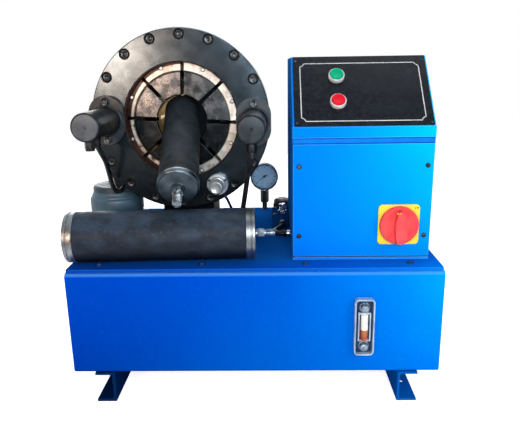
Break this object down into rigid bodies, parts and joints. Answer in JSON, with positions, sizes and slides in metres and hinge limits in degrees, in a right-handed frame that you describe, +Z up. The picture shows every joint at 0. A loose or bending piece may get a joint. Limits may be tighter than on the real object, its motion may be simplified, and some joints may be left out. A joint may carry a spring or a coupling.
{
  "type": "hydraulic hose crimping machine with hose assemblies",
  "caption": "Bench hydraulic hose crimper: oil tank on channel feet, ring head with radial dies, control box, and large-bore rubber hose assemblies with steel ends.",
  "frame": {"origin": "on the floor, at the centre of the four foot bolt holes", "axes": "+X to the operator's right, +Y away from the operator, +Z up"},
  "size_m": [0.727, 0.496, 0.706],
  "materials": {
    "tank_paint": "glossy deep blue enamel over sheet steel",
    "box_paint": "glossy azure enamel over sheet steel",
    "motor_paint": "grey-blue machine enamel",
    "black_steel": "blackened machined steel with mill marks",
    "bolt_steel": "black oxide socket screws",
    "die_steel": "hardened, ground die steel",
    "bright_steel": "turned bright steel",
    "zinc": "zinc plated fittings",
    "hose_rubber": "matte black mottled rubber",
    "line_rubber": "smooth black hose",
    "cable_jacket": "blue cable jacket",
    "panel_black": "black panel with a thin white border line",
    "green_plastic": "green push button cap",
    "red_plastic": "red plastic",
    "yellow_plastic": "yellow switch plate",
    "black_plastic": "moulded black plastic",
    "clear_glass": "clear glass",
    "sight_glass": "sight tube with oil level",
    "screw_blue": "painted-over screws"
  },
  "bodies": {
    "machine": {"tank_shell": "tank_paint", "tank_cover": "tank_paint", "cover_screws": "screw_blue", "feet": "tank_paint", "level_frame": "zinc", "level_glass": "sight_glass", "level_bolts": "zinc", "motor_case": "motor_paint", "pump": "black_steel", "head_pedestal": "black_steel", "head_barrel": "black_steel", "front_flange": "black_steel", "flange_bolts": "bolt_steel", "return_cyl_left": "black_steel", "return_cyl_right": "black_steel", "cylinder_brackets": "black_steel", "pressure_line_left": "line_rubber", "pressure_line_right": "line_rubber", "sensor": "zinc", "sensor_cable": "cable_jacket", "valve_block": "tank_paint", "valve_fittings": "zinc", "valve_line": "line_rubber", "gauge_case": "bright_steel", "gauge_glass": "clear_glass", "box_shell": "box_paint", "box_cover": "box_paint", "box_screws": "bolt_steel", "panel_plate": "panel_black", "button_bezels": "bright_steel", "switch_plate": "yellow_plastic", "hose_a_cover": "hose_rubber", "hose_a_ends": "bright_steel", "hose_a_adapter": "zinc"},
    "piston": {"ring_piston": "die_steel", "return_rods": "bright_steel"},
    "jaw_1": {"shoe_1": "bright_steel", "die_1": "die_steel"},
    "jaw_2": {"shoe_2": "bright_steel", "die_2": "die_steel"},
    "jaw_3": {"shoe_3": "bright_steel", "die_3": "die_steel"},
    "jaw_4": {"shoe_4": "bright_steel", "die_4": "die_steel"},
    "jaw_5": {"shoe_5": "bright_steel", "die_5": "die_steel"},
    "jaw_6": {"shoe_6": "bright_steel", "die_6": "die_steel"},
    "jaw_7": {"shoe_7": "bright_steel", "die_7": "die_steel"},
    "jaw_8": {"shoe_8": "bright_steel", "die_8": "die_steel"},
    "held_hose": {"hose_b_cover": "hose_rubber", "hose_b_ends": "bright_steel"},
    "fan": {"motor_rotor": "bright_steel"},
    "filler_cap": {"filler_cap": "black_plastic"},
    "needle": {"gauge_needle": "black_plastic"},
    "start_button": {"green_button": "green_plastic"},
    "stop_button": {"red_button": "red_plastic"},
    "main_switch": {"switch_knob": "red_plastic"}
  },
  "joints": [
    {"name": "piston_slide", "type": "slide", "parent": "machine", "child": "piston", "axis": [0, -1, 0], "range_m": [0, 0.015]},
    {"name": "jaw_1_slide", "type": "slide", "parent": "machine", "child": "jaw_1", "axis": [-0.9426, 0, -0.3338], "range_m": [0, 0.006]},
    {"name": "jaw_2_slide", "type": "slide", "parent": "machine", "child": "jaw_2", "axis": [-0.4305, 0, -0.9026], "range_m": [0, 0.006]},
    {"name": "jaw_3_slide", "type": "slide", "parent": "machine", "child": "jaw_3", "axis": [0.3338, 0, -0.9426], "range_m": [0, 0.006]},
    {"name": "jaw_4_slide", "type": "slide", "parent": "machine", "child": "jaw_4", "axis": [0.9026, 0, -0.4305], "range_m": [0, 0.006]},
    {"name": "jaw_5_slide", "type": "slide", "parent": "machine", "child": "jaw_5", "axis": [0.9426, 0, 0.3338], "range_m": [0, 0.006]},
    {"name": "jaw_6_slide", "type": "slide", "parent": "machine", "child": "jaw_6", "axis": [0.4305, 0, 0.9026], "range_m": [0, 0.006]},
    {"name": "jaw_7_slide", "type": "slide", "parent": "machine", "child": "jaw_7", "axis": [-0.3338, 0, 0.9426], "range_m": [0, 0.006]},
    {"name": "jaw_8_slide", "type": "slide", "parent": "machine", "child": "jaw_8", "axis": [-0.9026, 0, 0.4305], "range_m": [0, 0.006]},
    {"name": "held_hose_tilt", "type": "hinge", "parent": "machine", "child": "held_hose", "pos_m": [-0.153, -0.019, 0.599], "axis": [-1, 0, 0], "range_deg": [0, 9]},
    {"name": "fan_spin", "type": "hinge", "parent": "machine", "child": "fan", "pos_m": [-0.318, 0.045, 0.3], "axis": [0, 0, 1], "continuous": true},
    {"name": "filler_cap_lift", "type": "slide", "parent": "machine", "child": "filler_cap", "axis": [0, 0, 1], "range_m": [0, 0.06]},
    {"name": "needle_turn", "type": "hinge", "parent": "machine", "child": "needle", "pos_m": [0.015, 0.218, 0.357], "axis": [0, 1, 0], "range_deg": [-8, 262]},
    {"name": "start_press", "type": "slide", "parent": "machine", "child": "start_button", "axis": [0, 0.7442, -0.668], "range_m": [0, 0.003], "stiffness_N_per_m": 400, "springref_m": -0.003},
    {"name": "stop_press", "type": "slide", "parent": "machine", "child": "stop_button", "axis": [0, 0.7442, -0.668], "range_m": [0, 0.003], "stiffness_N_per_m": 400, "springref_m": -0.003},
    {"name": "main_switch_turn", "type": "hinge", "parent": "machine", "child": "main_switch", "pos_m": [0.2695, -0.19, 0.341], "axis": [0, 1, 0], "range_deg": [0, 90]}
  ],
  "couplings": [
    {"joint": "jaw_1_slide", "follows": "piston_slide", "ratio": 0.4},
    {"joint": "jaw_2_slide", "follows": "piston_slide", "ratio": 0.4},
    {"joint": "jaw_3_slide", "follows": "piston_slide", "ratio": 0.4},
    {"joint": "jaw_4_slide", "follows": "piston_slide", "ratio": 0.4},
    {"joint": "jaw_5_slide", "follows": "piston_slide", "ratio": 0.4},
    {"joint": "jaw_6_slide", "follows": "piston_slide", "ratio": 0.4},
    {"joint": "jaw_7_slide", "follows": "piston_slide", "ratio": 0.4},
    {"joint": "jaw_8_slide", "follows": "piston_slide", "ratio": 0.4},
    {"joint": "held_hose_tilt", "follows": "piston_slide", "rad_per_m": 10.471}
  ]
}
